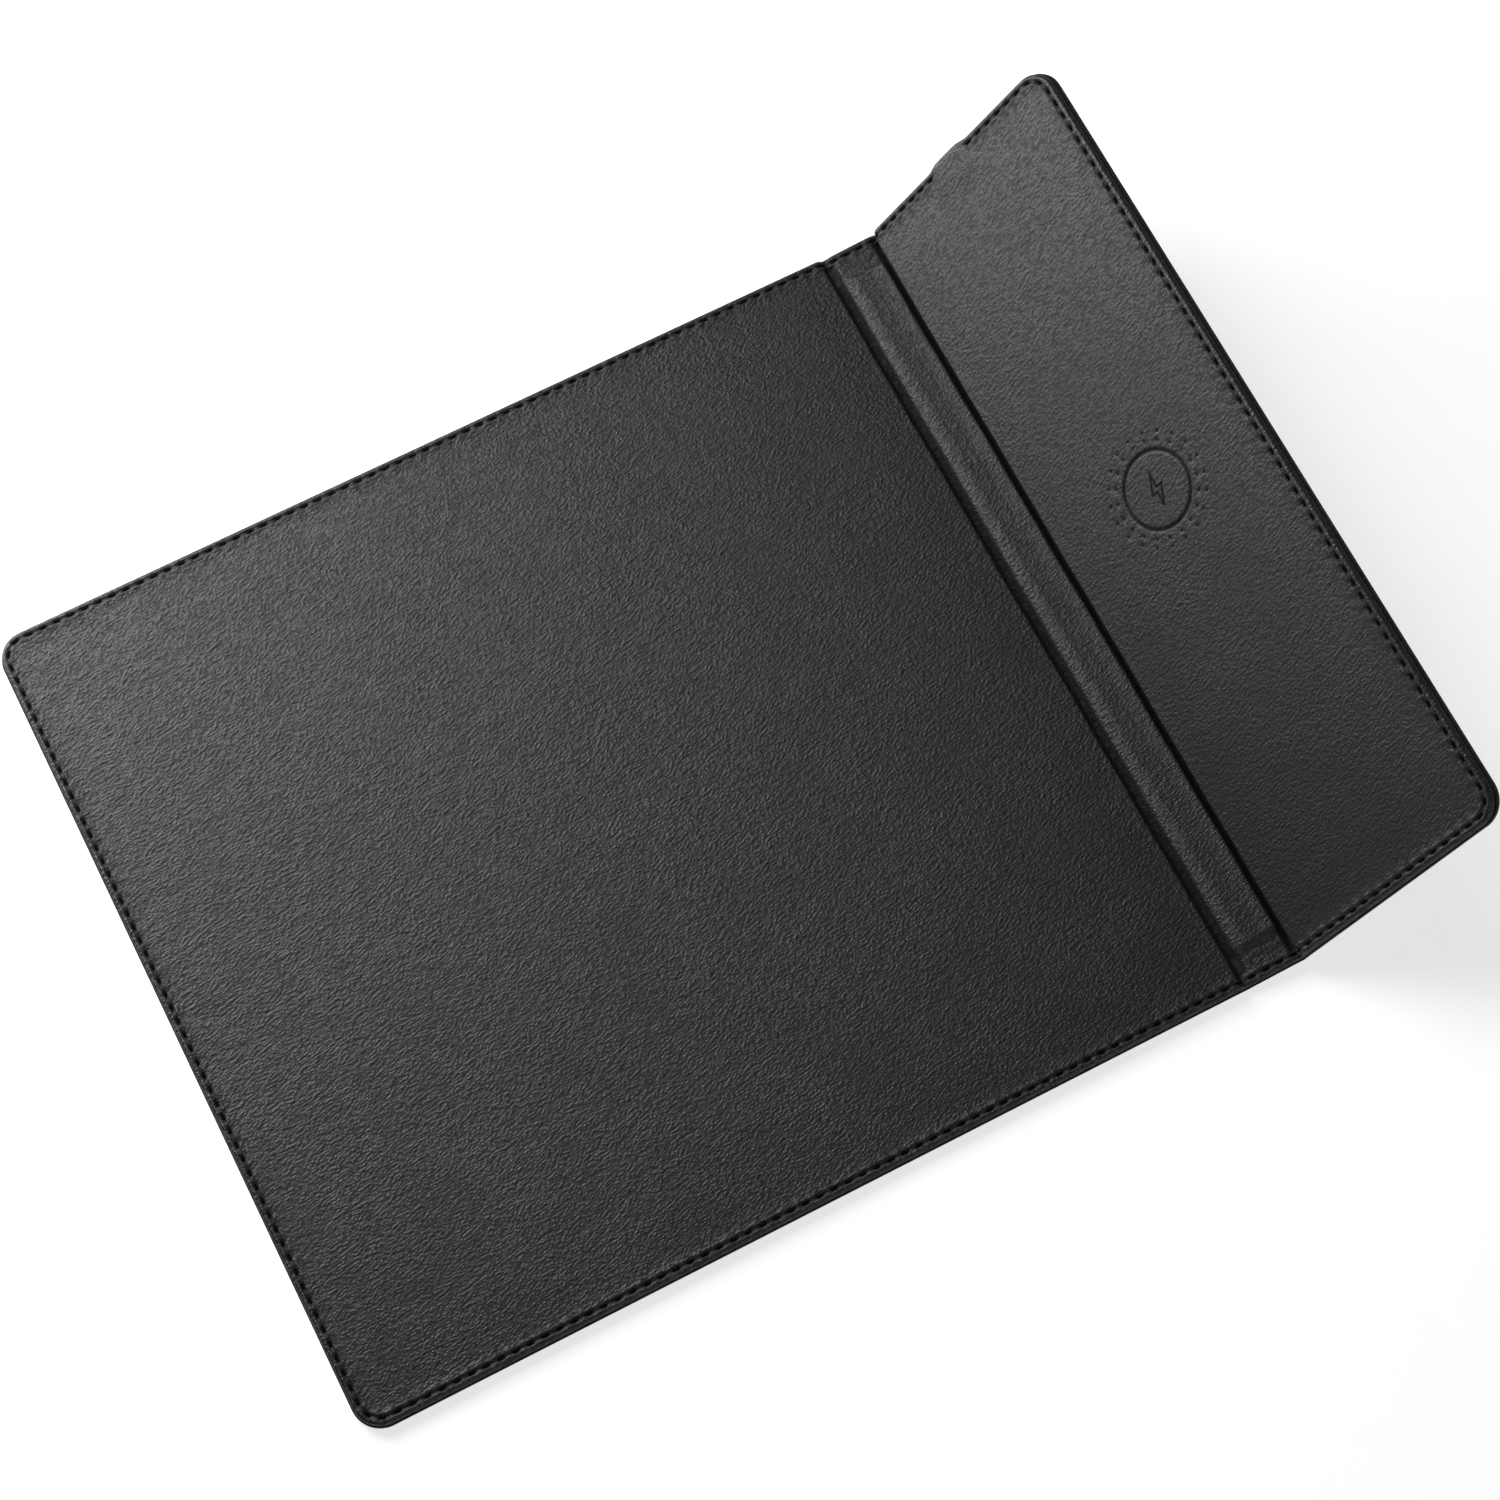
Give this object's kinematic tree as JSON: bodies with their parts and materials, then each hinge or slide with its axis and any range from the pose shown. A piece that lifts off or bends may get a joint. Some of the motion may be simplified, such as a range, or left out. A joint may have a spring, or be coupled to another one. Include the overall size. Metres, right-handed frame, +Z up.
{
  "type": "wireless charging desk mat",
  "caption": "Leather desk mat whose end folds up into a phone stand with a wireless charging coil, on a fold-out prop leg.",
  "frame": {"origin": "centre of the mat panel's resting face, on the desk", "axes": "+X along the mat towards the raised charging flap, +Y towards the edge with the USB socket, +Z up"},
  "size_m": [0.2819, 0.21, 0.0515],
  "materials": {
    "black_leather": "fine pebbled grain, satin",
    "black_thread": "twisted polyester thread",
    "fibreboard": "pressed fibre",
    "foam": "closed-cell foam",
    "case_plastic": "fine spark texture",
    "ferrite": "sintered, dull",
    "copper_wire": "enamelled",
    "circuit_board": "solder mask",
    "chip_black": "moulded",
    "ceramic_tan": "ceramic body with tinned ends",
    "tinned_steel": "tinned",
    "nickel": "nickel plate",
    "socket_plastic": "glass-filled"
  },
  "bodies": {
    "mat": {"mat_top_cover": "black_leather", "mat_foam": "foam", "mat_board": "fibreboard", "mat_base_cover": "black_leather", "mat_stitching": "black_thread"},
    "spine": {"spine_top_cover": "black_leather", "spine_rib": "fibreboard", "spine_base_cover": "black_leather", "spine_stitching": "black_thread"},
    "flap": {"flap_top_cover": "black_leather", "flap_back_cover": "black_leather", "flap_board": "fibreboard", "flap_stitching": "black_thread", "catch_discs": "tinned_steel", "leg_hinge_strap": "black_leather", "charger_tray": "case_plastic", "charger_lid": "case_plastic", "ferrite_sheet": "ferrite", "charging_coil": "copper_wire", "coil_leads": "copper_wire", "thermistor": "chip_black", "circuit_board": "circuit_board", "usb_socket_shell": "tinned_steel", "usb_socket_tongue": "socket_plastic", "controller_chip": "chip_black", "bridge_transistors": "chip_black", "tank_capacitors": "ceramic_tan", "input_capacitors": "ceramic_tan", "input_inductor": "chip_black", "timing_crystal": "tinned_steel"},
    "leg": {"leg_board": "fibreboard", "leg_inner_cover": "black_leather", "leg_outer_cover": "black_leather", "leg_magnets": "nickel"}
  },
  "joints": [
    {"name": "mat_crease", "type": "hinge", "parent": "mat", "child": "spine", "pos_m": [0.1114, 0, 0.00035], "axis": [0, -1, 0], "range_deg": [-5.5, 49.5]},
    {"name": "flap_crease", "type": "hinge", "parent": "spine", "child": "flap", "pos_m": [0.12623, 0, 0.00178], "axis": [0, -1, 0], "range_deg": [-41.7, 14.3]},
    {"name": "leg_hinge", "type": "hinge", "parent": "flap", "child": "leg", "pos_m": [0.16547, 0, 0.04312], "axis": [0, -1, 0], "range_deg": [-46.8, 63.2]}
  ]
}
